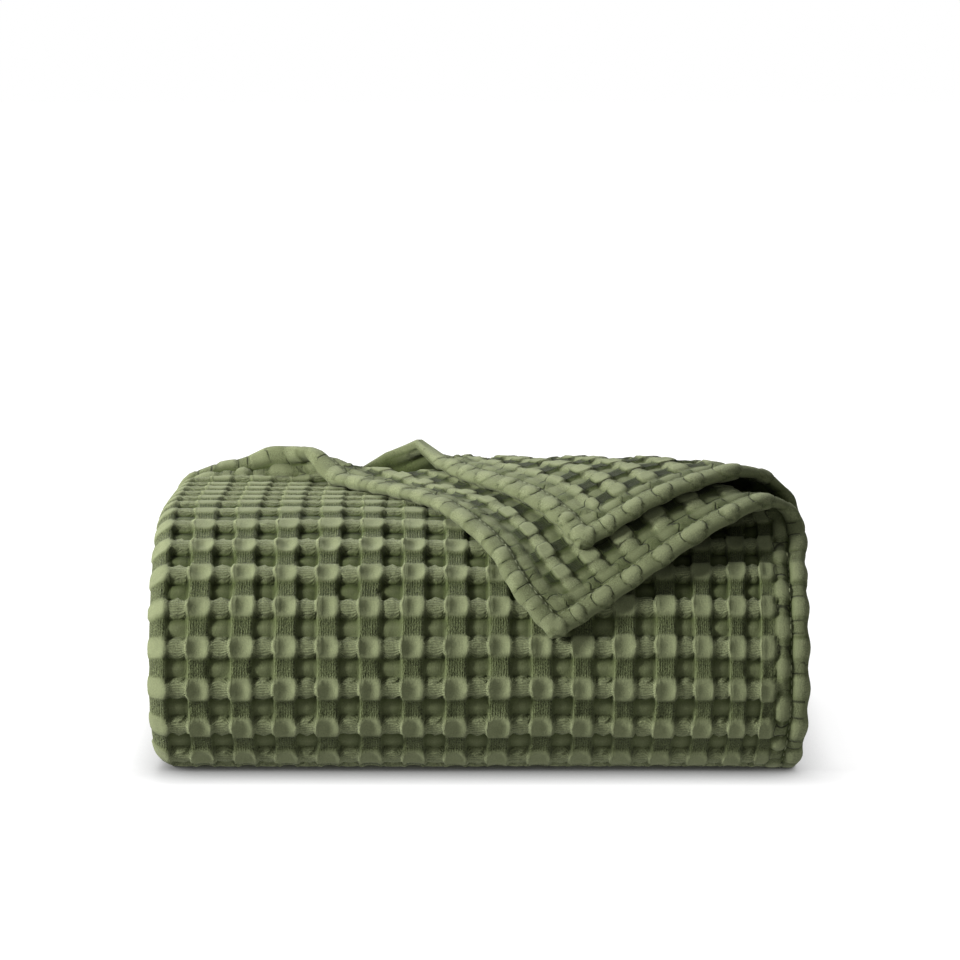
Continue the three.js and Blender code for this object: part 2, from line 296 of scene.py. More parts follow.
def strip_columns(places):
    """Where columns at distances from the first hem lie in the strip's section."""
    found = np.clip(np.searchsorted(RUN_STARTS, places, side="right") - 1, 0, len(STRIP) - 1)
    names = ("layer", "hems", "share", "step", "depth", "nx", "nz")
    columns = {name: np.zeros(len(places)) for name in names}
    for i, row in enumerate(STRIP):
        here = found == i
        local = (places[here] - RUN_STARTS[i]) / row["length"]
        columns["hems"][here] = row["hems"]
        columns["share"][here] = mix(row["share"][0], row["share"][1], local)
        if "layer" in row:
            columns["layer"][here] = row["layer"]
            columns["depth"][here] = -row["layer"] * STEP
            columns["nz"][here] = row["face"]
        else:
            bend = BENDS[row["run"]]
            angle = np.radians(mix(bend["turn"][0], bend["turn"][1], local))
            columns["layer"][here] = NO_LAYER
            columns["step"][here] = bend["radius"] * STEP * np.cos(angle)
            columns["depth"][here] = (bend["middle"] + bend["radius"] * np.sin(angle)) * STEP
            columns["nx"][here] = bend["out"] * np.cos(angle)
            columns["nz"][here] = bend["out"] * np.sin(angle)
    return columns


# The turned corner


def loop_at(layer, x, from_end, hems):
    """One layer's loop in the flat: the direction across its crease, how far a point is past the
    line where the layer leaves the stack, and the loop's size there."""
    to_end, to_side = TURNED[layer]["corner"]
    length = math.hypot(to_end, to_side)
    across = (to_side / length, -to_end / length)
    dx = x - (hems - to_end)
    reach = (dx * to_end + from_end * to_side) / length**2
    to_middle = smooth(reach, 0.0, TURNED_MIDDLE)
    past_middle = smooth(reach, TURNED_MIDDLE, 1.0)
    sizes = []
    for end, middle, side in zip(TURNED[layer]["end"], TURNED[layer]["middle"], TURNED[layer]["side"]):
        sizes.append(mix(mix(end, middle, to_middle), side, past_middle))
    wide, high, settle = sizes
    lap = math.pi * np.sqrt((wide**2 + high**2 / 4) / 2)
    past = dx * across[0] + from_end * across[1] + lap / 2
    return across, past, wide, high, settle, lap


def lip_height(x, from_end):
    """How far the outer layer's end hem lifts off beside the turned corner."""
    there = smooth(x, LIP["from"], LIP["full"]) * (1 - smooth(x, LIP["fade"], LIP["to"]))
    return LIP["high"] * there * (1 - smooth(from_end, 0.0, LIP["over"]))


def bowed(layer, x, from_end, hems):
    """Distance from the end hem, with the bow of the turned hem taken off."""
    at, by = TURNED[layer]["bow"]
    there = smooth(hems - x, 0.0, at) * (1 - smooth(hems - x, at, 2 * at))
    return from_end - by * there * (1 - smooth(from_end, 0.0, BOW_OVER))


def turned_height(x, from_end, hems):
    """Height of the turned outer layer over a place on the stack."""
    _, past, _, high, settle, _ = loop_at(0, x, from_end, hems)
    return mix(high, TURNED_REST, smooth(-past, 0.0, settle))


def turn_corner(layer, x, from_end, hems):
    """Where points of a hemmed layer go when its corner is turned over: x, the distance from the end
    hem, the height off the stack, the layer's up direction, and how far each point is turned."""
    from_end = bowed(layer, x, from_end, hems)
    across, past, wide, high, settle, lap = loop_at(layer, x, from_end, hems)
    angle = math.pi * np.clip(past / lap, 0.0, 1.0)
    moved = np.where(past > lap, lap - 2 * past, wide * np.sin(angle) - past)
    moved = np.where(past > 0, moved, 0.0)
    new_x = x + moved * across[0]
    new_end = from_end + moved * across[1]
    below = 0.0 if layer == 0 else turned_height(new_x, new_end, hems) + STEP
    lying = mix(high, below + TURNED_REST, smooth(past - lap, 0.0, settle))
    height = np.where(past > lap, lying, high / 2 * (1 - np.cos(angle)))
    tilt = -np.sin(angle)
    up = (tilt * across[0], tilt * across[1], np.cos(angle))
    return new_x, new_end, height, up, smooth(past, 0.0, lap)


# The cells of the waffle, which are a little uneven


def cells_from_hem(distance, pitch, first):
    return distance / pitch + CROWDED_CELLS * (1 - np.exp(-distance / CROWDED_OVER)) + first


def cells_across(places):
    """Cell columns, counted from the nearer side hem. Ridge columns are at whole numbers."""
    from_hem = np.where(places < THIRD_END, places, CUT_WIDTH - places)
    return cells_from_hem(from_hem, CELL_ACROSS, FIRST_ACROSS)


def cells_along(from_end):
    return cells_from_hem(from_end, CELL_ALONG, FIRST_ALONG)


SEED = 11
CELL_REPEAT = 97
FULL_TURN = 6.28
STEEPEST = 1.6
WOBBLE = np.random.default_rng(SEED)
WOBBLE_WAVES = [
    {
        "a": WOBBLE.uniform(-STEEPEST, STEEPEST),
        "b": WOBBLE.uniform(-STEEPEST, STEEPEST),
        "phase": WOBBLE.uniform(0, FULL_TURN),
    }
    for _ in range(7)
]
ACROSS_WAVES = WOBBLE_WAVES[0:3]
ALONG_WAVES = WOBBLE_WAVES[2:5]
SAG_WAVES = WOBBLE_WAVES[3:7]
CELL_TABLE = WOBBLE.normal(0.0, 1.0, (4, CELL_REPEAT, CELL_REPEAT))


def wobble(a, b, waves):
    """A slow, uneven wave over the cells, about from -1 to 1."""
    total = np.zeros(np.broadcast(a, b).shape)
    for wave in waves:
        total = total + np.sin(wave["a"] * a + wave["b"] * b + wave["phase"])
    return total / len(waves)


# The waffle in shares of a cell, with heights in millimetres off the plain sheet. Ridges run along the
# cloth, with pads on them and gaps between the pads. Ties cross from pad to pad, and a pit with a low
# pillow in it lies between the ties.
WANDER_ACROSS = 0.03
WANDER_ALONG = 0.04
RIDGE = Sizes(
    half=0.25,
    waist=0.032,
    uneven=0.01,
    lean=0.006,
    slope=(-0.005, 0.045),
    rim=0.35,
    rim_at=0.95,
    rim_width=0.17,
)
GAP = Sizes(height=-1.1, on_shoulder=0.5, dip=0.8, dip_half=0.92)
PAD = Sizes(
    half=0.25,
    uneven=0.01,
    rounding=0.045,
    slope=(-0.03, 0.08),
    tall=0.12,
    dish_uneven=0.15,
    dish_half=0.34,
    outline_half=0.3,
    outline_scale=1.3,
)
TIE = Sizes(
    reach=0.21,
    bow=0.24,
    height=0.4,
    on_shoulder=0.6,
    half=0.26,
    side_drop=1.2,
    end_drop=0.4,
    slope=(0.23, 0.285),
)
PIT = Sizes(half_across=0.26, half_along=0.25, fullness=0.75)

# Painted shade of the waffle's places: its gaps and pits are darkened as hollows in shade, the ties
# darken towards their ends, and a painted shadow falls below each pad and tie. A pair is for cloth that
# is drawn tight and for loose cloth, and the three numbers for the shadow below a pad are where it
# starts, where it is full and where it ends.
WAFFLE_PAINTED_SHADE = Sizes(
    gap=(0.34, DARKEST),
    under=(0.2, 0.3, 0.5),
    under_pad=0.16,
    under_pit=0.2,
    tie=0.92,
    tie_end=0.12,
    pit=(0.2, 0.3),
    pillow=(0.46, 0.25),
    shoulder_pit=0.35,
)


def waffle_relief(a, b, face, raised, dish, shoulder, loose):
    """Height of the waffle over the sheet's face, its painted shade, a field that is 0 round the pads,
    and the uneven cells. raised is the pads' own height and dish how far they sink in the middle. On the
    shoulder of the stack the ties and gaps are fuller and the pits have more painted shade. Where the
    cloth is loose, its gaps are the darkest places and not its pits."""
    a = a + WANDER_ACROSS * wobble(a, b, ACROSS_WAVES)
    b = b + WANDER_ALONG * wobble(a, b, ALONG_WAVES)
    column = np.round(a)
    row = np.round(b)
    draws = (column.astype(int) % CELL_REPEAT, row.astype(int) % CELL_REPEAT)
    tall, broad, long, lean = CELL_TABLE[:, *draws]
    ax = np.abs(a - column + RIDGE.lean * lean)
    ay = np.abs(b - row)

    half_width = RIDGE.half + (RIDGE.waist + RIDGE.uneven * broad) * np.cos(2 * math.pi * ay)
    inside = ax / half_width
    pad_end = PAD.half + PAD.uneven * long - PAD.rounding * np.clip(inside, 0, 1) ** 3
    on_pad = 1 - smooth(ay, pad_end + PAD.slope[0], pad_end + PAD.slope[1])
    bowl = (dish + PAD.dish_uneven * tall) * dome(ay / PAD.dish_half)
    hollow = mix(GAP.dip, bowl, on_pad) * dome(inside / GAP.dip_half)
    rim = RIDGE.rim * bell(inside - RIDGE.rim_at, RIDGE.rim_width)
    gap = GAP.height + GAP.on_shoulder * shoulder
    ridge = mix(gap, raised + PAD.tall * tall, on_pad) - hollow + rim
    on_ridge = 1 - smooth(ax, half_width + RIDGE.slope[0], half_width + RIDGE.slope[1])

    from_tie = (0.5 - ax) / TIE.reach
    off_tie = ay / (1 - TIE.bow * from_tie**2)
    tie_top = TIE.height + TIE.on_shoulder * shoulder
    tie = tie_top - TIE.side_drop * (off_tie / TIE.half) ** 2 - TIE.end_drop * from_tie**4
    on_tie = 1 - smooth(off_tie, *TIE.slope)
    pillow = dome((0.5 - ax) / PIT.half_across) * dome((0.5 - ay) / PIT.half_along)
    pit = face["floor"] + face["rise"] * pillow**PIT.fullness
    height = mix(mix(pit, tie, on_tie), ridge, on_ridge)

    # Painted shade: gaps and pits darkened as hollows in shade, darker again in the shadow below a pad
    # or tie and on the shoulder
    painted_shades = WAFFLE_PAINTED_SHADE
    start, full, end = painted_shades.under
    under = smooth(b - row, start, full) * (1 - smooth(b - row, full, end)) * (1 - loose)
    ridge_shade = mix(mix(*painted_shades.gap, loose), 1.0, on_pad) - painted_shades.under_pad * under
    tie_shade = painted_shades.tie - painted_shades.tie_end * np.clip(from_tie, 0, 1) ** 2
    tight_pit, loose_pit = (low + more * pillow for low, more in zip(painted_shades.pit, painted_shades.pillow))
    pit_shade = mix(tight_pit, loose_pit, loose) - painted_shades.under_pit * under
    pit_shade = pit_shade - painted_shades.shoulder_pit * shoulder
    shade = mix(mix(pit_shade, tie_shade, on_tie), ridge_shade, on_ridge)
    off_pad = ((ax / PAD.outline_half) ** 4 + (ay / PAD.outline_half) ** 4) ** 0.25
    outline = PAD.outline_scale * off_pad - PAD.outline_scale
    return height, shade, outline, a, b


# A hem, by the distance from its edge and with shares of a cell along it. A slope is where it starts
# and where it ends. Other pairs are for a hem that lies flat and for a loose one, or for blocks and for
# ovals where the name says so. The drift is waves of the cells along the hem, each with its size, its
# rate and its phase, and the draws are the row of uneven cells that the hems take.
HEM_DRIFT = ((0.06, 2.3, 0.0), (0.05, 3.7, 1.0))
HEM_DRAWS = 5
HEM_FLOOR = -2.6
HEM_ROLL = Sizes(
    half=(4.6, 5.3),
    over_edge=0.8,
    power=3,
    fullness=0.6,
    lean=0.02,
    block_slope=(0.23, 0.3),
    between=0.15,
    block_or_oval_top=(0.7, 1.1),
    shade_between=0.72,
)
OVAL = Sizes(half_along=0.31, uneven=0.02, at=4.9, half_across=5.2, fullness=0.4)
CREASE = Sizes(at=0.265, width=0.03, round_at=0.02, round_width=0.13, depth=0.6, shade=0.5, scale=8)
PUFF = Sizes(
    at=(12.4, 13.2),
    half_across=4.5,
    broad=0.3,
    half_along=(0.32, 0.4),
    long=0.03,
    fullness=0.38,
    height=(3.1, 2.2),
    tall=0.3,
    shade=(1.0, 0.75),
)
STRAP = Sizes(side_slope=(0.15, 0.22), start_slope=(9.4, 11.0), height=-0.6, shade=(0.6, 0.3))
SEAM_AT = (9.0, 10.2)


def hem_relief(edge, t, loose, puffed):
    """Height and painted shade of a hem: a flat roll in blocks, a seam, and a row of oval puffs beside
    it with straps between them. Where the hem is loose, its roll is broader and its puffs are flatter.
    Where it is puffed, the roll's blocks are ovals. The third result is 0 along the creases round the
    puffs."""
    drifted = t
    for by, rate, phase in HEM_DRIFT:
        drifted = drifted + by * np.sin(rate * t + phase)
    t = drifted
    tall, broad, long, lean = CELL_TABLE[:, np.floor(t).astype(int) % CELL_REPEAT, HEM_DRAWS]
    off = np.abs(t - np.round(t) + HEM_ROLL.lean * lean)

    half_roll = mix(*HEM_ROLL.half, loose)
    from_middle = np.abs((edge - half_roll + HEM_ROLL.over_edge) / half_roll)
    roll = np.clip(1 - from_middle**HEM_ROLL.power, 0, 1) ** HEM_ROLL.fullness
    oval_along = off / (OVAL.half_along + OVAL.uneven * broad)
    oval = 1 - oval_along**2 - ((edge - OVAL.at) / OVAL.half_across) ** 2
    block = mix(1 - smooth(off, *HEM_ROLL.block_slope), np.clip(oval, 0, 1) ** OVAL.fullness, puffed)
    straight_crease = bell(off - CREASE.at, CREASE.width)
    crease = mix(straight_crease, bell(oval - CREASE.round_at, CREASE.round_width), puffed)
    top = mix(HEM_ROLL.between, mix(*HEM_ROLL.block_or_oval_top, puffed), block) - CREASE.depth * crease

    across = (edge - mix(*PUFF.at, loose)) / (PUFF.half_across + PUFF.broad * broad)
    along = (0.5 - off) / (mix(*PUFF.half_along, loose) + PUFF.long * long)
    round_puff = 1 - across**2 - along**2
    puff = np.clip(round_puff, 0, 1) ** PUFF.fullness
    strap = (1 - smooth(off, *STRAP.side_slope)) * smooth(edge, *STRAP.start_slope)
    puffs = mix(HEM_FLOOR, STRAP.height, strap) + (mix(*PUFF.height, loose) + PUFF.tall * tall) * puff
    height = np.maximum(puffs, HEM_FLOOR + (top - HEM_FLOOR) * roll)

    # Painted shade in the creases, between the blocks and down the roll's inner side, darkest in the
    # seam's groove
    block_shade = mix(HEM_ROLL.shade_between, 1.0, block) - CREASE.shade * crease
    roll_shade = np.where(edge < half_roll, 1.0, roll) * block_shade
    puff_shade = mix(*PUFF.shade, loose) * puff
    strap_shade = mix(*STRAP.shade, loose) * strap
    shade = np.maximum(strap_shade, np.maximum(puff_shade, roll_shade))
    roll_outline = mix((CREASE.at - off) * CREASE.scale, oval, puffed)
    return height, shade, np.where(edge < mix(*SEAM_AT, loose), roll_outline, round_puff)


def rounded_corner(side_edge, end_edge):
    """Distances from the two hems with the corner between them rounded off."""
    a = np.clip(1 - side_edge / CORNER_RADIUS, 0.0, 1.0)
    b = np.clip(1 - end_edge / CORNER_RADIUS, 0.0, 1.0)
    inside_a = a * np.sqrt(1 - b**2 / 2)
    inside_b = b * np.sqrt(1 - a**2 / 2)
    return side_edge + CORNER_RADIUS * (a - inside_a), end_edge + CORNER_RADIUS * (b - inside_b)


def edge_rounding(edge):
    """The share of the sheet's half thickness that its rounded edge takes away."""
    gone = np.clip(1 - edge / EDGE_ROUND, 0.0, 1.0)
    return 1 - np.sqrt(1 - EDGE_FULL * gone**2)


# The dressed cloth


def flat_cloth(places, from_end):
    """The sheet folded to its strip, on a grid of columns and rows: x, the distances from the core and
    the hems, and the cells."""
    column = strip_columns(places)
    q = from_end[:, None] + np.zeros(len(places))
    u = np.zeros(len(from_end))[:, None] + places
    distance = ROLL_LENGTH - q
    left, hems, fold = ends_at(distance)
    reach = np.where(column["hems"] > 0, hems, fold - FOLD_CENTRE)
    x = mix(left + LEFT_CENTRE, reach, column["share"]) + column["step"]
    hemmed = (column["layer"] == 0) | (column["layer"] == 1)
    side_edge = np.where(hemmed, np.minimum(u, CUT_WIDTH - u), FAR)
    by_side = side_edge < q
    a = cells_across(u)
    b = cells_along(q)
    rounded_side, rounded_end = rounded_corner(side_edge, q)
    return Sizes(
        column=column,
        u=u,
        distance=distance,
        hems=hems,
        x=x - (rounded_side - side_edge),
        from_end=rounded_end,
        edge=np.minimum(np.minimum(side_edge, q), distance),
        by_side=by_side,
        a=a,
        b=b,
        along_hem=np.where(by_side, b, a),
    )


def turned_cloth(cloth):
    """The cloth with the corners of its two hemmed layers turned over and its lip lifted: x, the
    distance from the end hem, the height off the stack, the up direction, and how far it is turned."""
    column = cloth.column
    x = cloth.x.copy()
    from_end = cloth.from_end.copy()
    height = np.zeros_like(x)
    up = [np.zeros_like(x), np.zeros_like(x), np.ones_like(x)]
    turned = np.zeros_like(x)
    for layer in (0, 1):
        here = column["layer"] == layer
        place = turn_corner(layer, cloth.x[:, here], cloth.from_end[:, here], cloth.hems[:, here])
        x[:, here], from_end[:, here], height[:, here], layer_up, turned[:, here] = place
        for i in range(3):
            up[i][:, here] = layer_up[i]
    lip = np.maximum(0.0, 1 + column["depth"] / STEP) * lip_height(cloth.x, cloth.from_end)
    return x, from_end, height + lip, up, turned


# Where the cloth is free to rise: the turn that shows, the face at the back and the third layer, by the
# distance from the end hem, how far behind that hem, and how far off the floor. Then how high its pads
# are where it is pressed and where it is free, and how much of a hem is left where it is pressed.
OUTER_TURN = (600.0, 640.0)
BACK_FACE = (560.0, 880.0)
BEHIND_END = (2.0, 12.0)
ON_FLOOR = (3.0, 6.0)
THIRD_FREE = 206.0
THIRD_RISE = 0.5
PAD_HEIGHT = (0.3, 1.0)
PAD_ON_FLOOR = 0.3
HEM_PRESSED = 0.35

# How straight up the cloth looks on the flat top, and on the shoulder in front of it
TOP_LOOKS_UP = (0.91, 0.99)
SHOULDER_LOOKS_UP = (0.35, 0.95)

# What changes the relief from place to place
HEM_DISH = 0.45
HEM_DISH_OVER = (30.0, 170.0)
LOOSE_FLATTER = 0.4
FOLD_FLATTER = 0.6
FOLD_TURNS = (0.2, 0.9)
END_HEM_PUFFED = 0.25
SAG = 0.6
SAG_CELLS = 0.7
SCALLOP = 0.7
SCALLOP_OVER = 6.0

# What changes the painted shade, the yarns and the creases from place to place, with painted shade in
# the second layer's loop and painted light on the folds at the left
LOOP_STARTS = (0.02, 0.2)
LOOP_ENDS = (0.6, 0.95)
HOLLOW_STARTS = (-2.0, 6.0)
HOLLOW_PAINTED_SHADE = 0.85
FOLD_PAINTED_LIGHT_LEVEL = 0.7
FOLD_PAINTED_LIGHT = 0.5
FOLD_PAINTED_LIGHT_TURNS = (0.1, 0.6)
HEM_YARNS_LOST = 0.65
TURNED_YARNS_LOST = 0.7
YARNS_START = (0.5, 2.5)
FLAT_HEM_CREASED = 0.6
NO_CREASE_TO = 1.5


def free_cloth(cloth, side, turned, y, z):
    """How free the cloth is to rise, and how close to the floor it lies, both from 0 to 1."""
    u, distance = cloth.u, cloth.distance
    on_outer = (u <= LEFT_FOLD_END) & (side > 0)
    outer_turn = smooth(distance, ROLL_LENGTH - OUTER_TURN[1], ROLL_LENGTH - OUTER_TURN[0])
    bottom = smooth(-z, -ON_FLOOR[1], -ON_FLOOR[0])
    on_back = (distance > ROLL_LENGTH - BACK_FACE[1]) * (distance < ROLL_LENGTH - BACK_FACE[0])
    behind = smooth(y - END_Y, *BEHIND_END) * on_back
    free = np.maximum(outer_turn, behind) * on_outer * (1 - bottom)
    third = (u > THIRD_START) & (u < THIRD_END) & (side > 0) & (cloth.from_end < THIRD_FREE)
    return np.maximum(np.maximum(free, turned), THIRD_RISE * third), bottom


def dressed_face(cloth, side, turned, relief_across, relief_along):
    """Height of the relief on one face, and the fields of its points: cells, painted shade, how strongly
    the yarns show, and the creases' field."""
    column, edge = cloth.column, cloth.edge
    y, z = on_roll(cloth.distance, 0.0)
    free, bottom = free_cloth(cloth, side, turned, y, z)
    looks_up = on_roll(cloth.distance, 1.0)[1] - z
    on_top = smooth(looks_up, *TOP_LOOKS_UP) * (1 - turned)
    shoulder = smooth(looks_up, *SHOULDER_LOOKS_UP) * (1 - turned)

    face = FACES[side]
    raised = mix(*PAD_HEIGHT, free) - PAD_ON_FLOOR * bottom
    dish = mix(face["tight"], face["loose"], np.maximum(turned, on_top))
    dish = dish * mix(HEM_DISH, 1.0, smooth(cloth.u, *HEM_DISH_OVER))
    relief, shade, pad_outline, cell_a, cell_b = waffle_relief(
        cloth.a + face["shift"], cloth.b + face["shift"], face, raised, dish, shoulder, turned
    )
    relief = relief * (1 - LOOSE_FLATTER * np.maximum(on_top, turned))
    at_fold = 1 - FOLD_FLATTER * smooth(-column["nx"], *FOLD_TURNS)
    relief = relief * relief_across * relief_along * at_fold

    puffed = turned * np.where(cloth.by_side | (column["layer"] == 1), 1.0, END_HEM_PUFFED)
    hem, hem_shade, hem_outline = hem_relief(edge, cloth.along_hem, turned, puffed)
    hem = hem * mix(HEM_PRESSED, 1.0, free) * relief_along
    at_hem = 1 - smooth(edge, HEM_LINES[-2], HEM_ZONE)
    relief = mix(relief, hem, at_hem)
    sag = SAG * wobble(cloth.a * SAG_CELLS, cloth.b * SAG_CELLS, SAG_WAVES) * free * relief_along

    shade = mix(shade, hem_shade, at_hem)
    # Painted shade inside the second layer's loop, whose hollow lies in shadow
    in_loop = smooth(turned, *LOOP_STARTS) * (1 - smooth(turned, *LOOP_ENDS))
    hollow = in_loop * smooth(edge, *HOLLOW_STARTS) * (column["layer"] == 1)
    shade = mix(shade, DARKEST, HOLLOW_PAINTED_SHADE * hollow)
    # Painted light: the folds at the left, towards the light, are made lighter
    fold_painted_light = FOLD_PAINTED_LIGHT * smooth(-column["nx"], *FOLD_PAINTED_LIGHT_TURNS)
    shade = mix(shade, np.maximum(shade, FOLD_PAINTED_LIGHT_LEVEL), fold_painted_light)
    yarn = (1 - HEM_YARNS_LOST * at_hem) * (1 - TURNED_YARNS_LOST * turned) * smooth(edge, *YARNS_START)
    hem_crease = mix(1.0, hem_outline, mix(FLAT_HEM_CREASED, 1.0, turned))
    crease = mix(mix(1.0, pad_outline, turned), hem_crease, at_hem)
    crease = np.where(edge < NO_CREASE_TO, np.where(crease < 0, -1.0, 1.0), crease)
    shade = mix(SHADE_ZERO, 1.0, shade)
    return relief + sag, {"a": cell_a, "b": cell_b, "shade": shade, "yarn": yarn, "crease": crease}


def cloth_points(places, from_end, side, relief_across, relief_along):
    """Points of one face of the cloth on a grid of columns and rows, and their fields. The relief's
    shares are given for the columns and for the rows."""
    relief_along = relief_along[:, None]
    cloth = flat_cloth(places, from_end)
    column, edge = cloth.column, cloth.edge
    new_x, new_end, height, up, turned = turned_cloth(cloth)
    relief, fields = dressed_face(cloth, side, turned, relief_across, relief_along)

    extra = HEM_EXTRA * turned * (1 - smooth(edge, *HEM_FADE))
    half = (SHEET + extra) / 2 + relief
    half = half * (1 - edge_rounding(edge) * relief_along)
    scallop = SCALLOP * np.cos(2 * math.pi * cloth.along_hem)
    scallop = scallop * np.exp(-edge / SCALLOP_OVER) * relief_along
    lift = side * half * column["nz"]
    flat_x = new_x + side * half * column["nx"] + lift * up[0] + np.where(cloth.by_side, scallop, 0.0)
    flat_end = new_end + lift * up[1] - np.where(cloth.by_side, 0.0, scallop)
    y, z = on_roll(ROLL_LENGTH - flat_end, column["depth"] + height + lift * up[2])
    return np.stack([flat_x, y, z], axis=-1), fields


# The grid: finer where the cloth shows

GOOD = (-0.335, -0.28, -0.23, -0.13, 0, 0.13, 0.23, 0.28, 0.335, 0.5)
FAIR = (-0.35, -0.27, -0.18, 0, 0.18, 0.27, 0.35, 0.5)
ROUGH = (-0.32, -0.2, 0, 0.2, 0.32, 0.5)
HEM_LINES = (0, 0.12, 0.45, 1.1, 2.2, 3.9, 5.6, 7.0, 7.9, 8.6, 9.4, 10.6, 12.3, 13.9, 15.2, 16.4)
HEM_FEW = (0, 0.6, 2.0, 5.0, 9.0, 13.0)

# Lines of each run's columns, as offsets in a cell. A number is that many even columns, which have no
# relief.
PLAIN = {
    "outer": 4,
    "left_fold": 5,
    "lowest": 3,
    "right_fold": 5,
    "third": 3,
    "inner_fold": 4,
    "second": 3,
}
FRONT = {**PLAIN, "outer": GOOD, "left_fold": GOOD, "right_fold": 8}
TURNED_TOP = {**FRONT, "third": ROUGH, "second": GOOD}
TURNED_UNDER = {**PLAIN, "outer": FAIR, "second": ROUGH}
BACK = {**PLAIN, "outer": ROUGH, "left_fold": ROUGH, "right_fold": 6}
HIDDEN = {**PLAIN, "left_fold": 8, "right_fold": 6}

# The zones from the end hem to the core: the rows' lines, or how far apart they are with no relief,
# and the columns of the outer face and of the inner one.
ZONES = [
    {"to": 152.0, "rows": GOOD, 1: TURNED_TOP, -1: TURNED_UNDER},
    {"to": 334.0, "rows": GOOD, 1: FRONT, -1: PLAIN},
    {"to": 534.0, "rows": 8.0, 1: HIDDEN, -1: PLAIN},
    {"to": BACK_FACE[1], "rows": ROUGH, 1: BACK, -1: PLAIN},
    {"to": ROLL_LENGTH, "rows": 10.0, 1: HIDDEN, -1: PLAIN},
]
THIRD_SHOWS = 215.0
THIRD_PLAIN = 3
SECOND_SHOWS = 150.0
SECOND_PLAIN = 6
NUDGE = 0.3  # even columns lie this far past the start of their shares
FINE_STEPS = 6000
SAME_PLACE = 1e-6


def cell_lines(coordinate, offsets, start, end):
    """Places between start and end where the cell count has one of the offsets."""
    dense = np.linspace(start, end, FINE_STEPS + 1)[:-1]
    cells = coordinate(dense)
    whole = np.arange(math.floor(cells.min()) - 1, math.ceil(cells.max()) + 2)
    wanted = np.sort((whole[:, None] + np.array(offsets)).ravel())
    wanted = wanted[(wanted > cells.min()) & (wanted < cells.max())]
    order = np.argsort(cells)
    return np.sort(np.interp(wanted, cells[order], dense[order]))


def even_lines(start, end, count):
    return np.linspace(start, end, count + 1)[:-1] + NUDGE


def zone_columns(style):
    """Distances from the first hem of a zone's columns on one face, and the relief's share there."""
    places = []
    shares = []

    def add(values, share):
        places.extend(values)
        shares.extend([share] * len(values))

    for i, row in enumerate(STRIP):
        start, end = RUN_STARTS[i], RUN_STARTS[i + 1]
        lines = style[row["run"]]
        even = isinstance(lines, int)
        hem = HEM_FEW if even else HEM_LINES
        if row["run"] == "outer":
            add(hem, 1.0)
            start = HEM_ZONE
        if row["run"] == "second":
            near = CUT_WIDTH - (HEM_ZONE if even else SECOND_SHOWS)
            add(even_lines(start, near, lines if even else SECOND_PLAIN), 0.0)
            if not even:
                add(cell_lines(cells_across, lines, near, CUT_WIDTH - HEM_ZONE), 1.0)
            add(CUT_WIDTH - np.array(hem)[::-1], 1.0)
            continue
        if row["run"] == "third" and not even:
            add(cell_lines(cells_across, lines, start, start + THIRD_SHOWS), 1.0)
            start = start + THIRD_SHOWS
            lines = THIRD_PLAIN
            even = True
        if even:
            add(even_lines(start, end, lines), 0.0)
        else:
            add(cell_lines(cells_across, lines, start, end), 1.0)
    order = np.argsort(places)
    return np.array(places)[order], np.array(shares)[order]


def zone_rows(lines, start, end):
    """Distances from the end hem of a zone's rows, and the relief's share there."""
    if isinstance(lines, float):
        count = max(2, round((end - start) / lines))
        rows = np.linspace(start, end, count + 1)[1:]
        return rows, np.zeros(len(rows))
    rows = cell_lines(cells_along, lines, max(start, HEM_ZONE), end)
    if start == 0:
        rows = np.concatenate([HEM_LINES, rows])
    return rows, np.ones(len(rows))


def join(first, second, first_places, second_places):
    """Faces between two rows of vertices that may differ in number, matched by their places."""
    faces = []
    i = 0
    j = 0
    while i < len(first) - 1 or j < len(second) - 1:
        next_first = first_places[i + 1] if i < len(first) - 1 else math.inf
        next_second = second_places[j + 1] if j < len(second) - 1 else math.inf
        if abs(next_first - next_second) < SAME_PLACE:
            faces.append((first[i], first[i + 1], second[j + 1], second[j]))
            i += 1
            j += 1
        elif next_first < next_second:
            faces.append((first[i], first[i + 1], second[j]))
            i += 1
        else:
            faces.append((first[i], second[j + 1], second[j]))
            j += 1
    return faces


def turned_round(faces):
    return [face[::-1] for face in faces]


